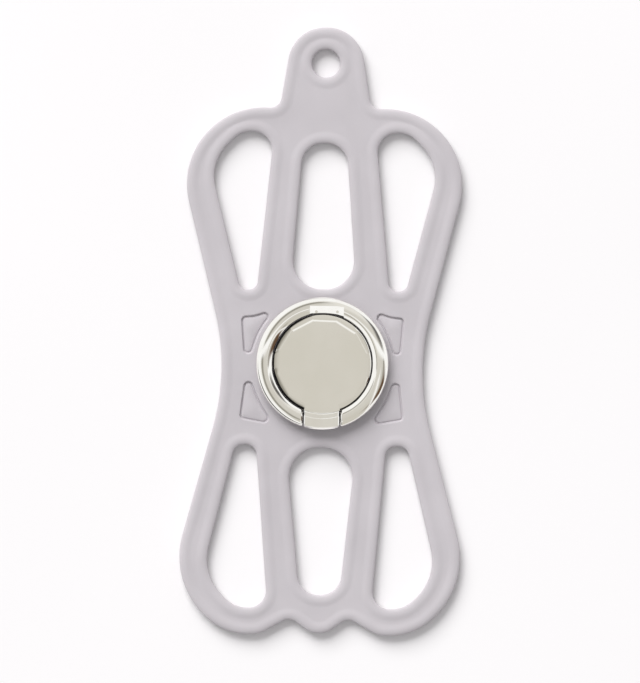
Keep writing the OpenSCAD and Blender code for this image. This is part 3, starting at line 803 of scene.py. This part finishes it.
# Panels: middle, half width and half length on the plane, the way that the length runs, colour, soft edge
PANELS = [
    ((1.34, -2.9), (0.9, 2.65), 155, "#D0CDC4", 0.12),  # a pale grey wall
    ((0.98, 0.6), (0.33, 0.3), 0, "#6A6866", 0.12),  # a dark thing at the upper right
    ((0.36, 0.8), (0.3, 0.35), 0, "#E9E7E2", 0.1),  # a white gap beside it
    ((2.0, -0.85), (0.4, 1.2), 112, "#66503E", 0.15),  # something of brown wood at the right
    ((-2.95, -2.48), (1.9, 1.75), 230, "#3A3835", 0.3),  # something dark and low at the lower left
    ((1.28, -1.21), (0.05, 1.4), 143, "#FFFFFF", 0.04),  # a thin white line at the lower right
    ((0, 0.1325), (3, 0.0675), 0, "#FFFFFF", 0.03),  # a white tube that the flats at the top show
    ((0, -0.97), (0.2, 0.25), 0, "#FFFFFF", 0.05)]  # a white card that the lug shows

world = bpy.data.worlds.new("studio")
bpy.context.scene.world = world
world.use_nodes = True
room = world.node_tree
room.nodes.clear()
sight = add(room, "ShaderNodeSeparateXYZ", n0=add(room, "ShaderNodeTexCoord").outputs["Generated"]).outputs
rise = add(room, "ShaderNodeMath", {"operation": "MAXIMUM"}, n0=sight[2], n1=HORIZON).outputs[0]
east = add(room, "ShaderNodeMath", {"operation": "DIVIDE"}, n0=sight[0], n1=rise).outputs[0]
north = add(room, "ShaderNodeMath", {"operation": "DIVIDE"}, n0=sight[1], n1=rise).outputs[0]
plane = add(room, "ShaderNodeCombineXYZ", X=east, Y=north).outputs[0]

from_middle = add(room, "ShaderNodeMapping", {"vector_type": "TEXTURE"}, Vector=plane,
                  Location=CEILING_MIDDLE, Scale=CEILING_REACH)
distance = add(room, "ShaderNodeVectorMath", {"operation": "LENGTH"}, n0=from_middle.outputs[0]).outputs[1]
ceiling = add(room, "ShaderNodeValToRGB", n0=distance)
stops = ceiling.color_ramp.elements
stops[0].color, stops[1].color = linear(CEILING[0][1]), linear(CEILING[-1][1])
for reach, code in CEILING[1:-1]:
    stops.new(reach / CEILING_END).color = linear(code)

seen = ceiling.outputs[0]
for middle, half, run, code, soft in PANELS:
    on_panel = add(room, "ShaderNodeMapping", {"vector_type": "TEXTURE"}, Vector=plane,
                   Location=(*middle, 0), Rotation=(0, 0, -radians(run)))
    aside = add(room, "ShaderNodeVectorMath", {"operation": "ABSOLUTE"}, n0=on_panel.outputs[0])
    inside = add(room, "ShaderNodeVectorMath", {"operation": "SUBTRACT"}, n0=(*half, 0), n1=aside.outputs[0])
    sides = add(room, "ShaderNodeSeparateXYZ", n0=inside.outputs[0]).outputs
    to_edge = add(room, "ShaderNodeMath", {"operation": "MINIMUM"}, n0=sides[0], n1=sides[1]).outputs[0]
    cover = add(room, "ShaderNodeMapRange", n0=to_edge, n1=-soft, n2=soft).outputs[0]
    seen = add(room, "ShaderNodeMix", {"data_type": "RGBA"}, n0=cover, n6=seen, n7=linear(code)).outputs[2]

# A ray that has bounced off something dull sees the dull light too
path = add(room, "ShaderNodeLightPath").outputs
direct = add(room, "ShaderNodeMath", {"operation": "MAXIMUM"},
             n0=path["Is Camera Ray"], n1=path["Is Glossy Ray"]).outputs[0]
clear = add(room, "ShaderNodeMath", {"operation": "MAXIMUM"},
            n0=direct, n1=path["Is Transmission Ray"]).outputs[0]
shows = add(room, "ShaderNodeMath", {"operation": "SUBTRACT", "use_clamp": True},
            n0=clear, n1=path["Diffuse Depth"]).outputs[0]
dull = add(room, "ShaderNodeBackground", Color=linear("#FFFFFF"), Strength=DULL_LIGHT).outputs[0]
pattern = add(room, "ShaderNodeBackground", Color=seen, Strength=1.0).outputs[0]
light = add(room, "ShaderNodeMixShader", n0=shows, n1=dull, n2=pattern).outputs[0]
add(room, "ShaderNodeOutputWorld", Surface=light)

bpy.context.scene.view_settings.view_transform = "Standard"
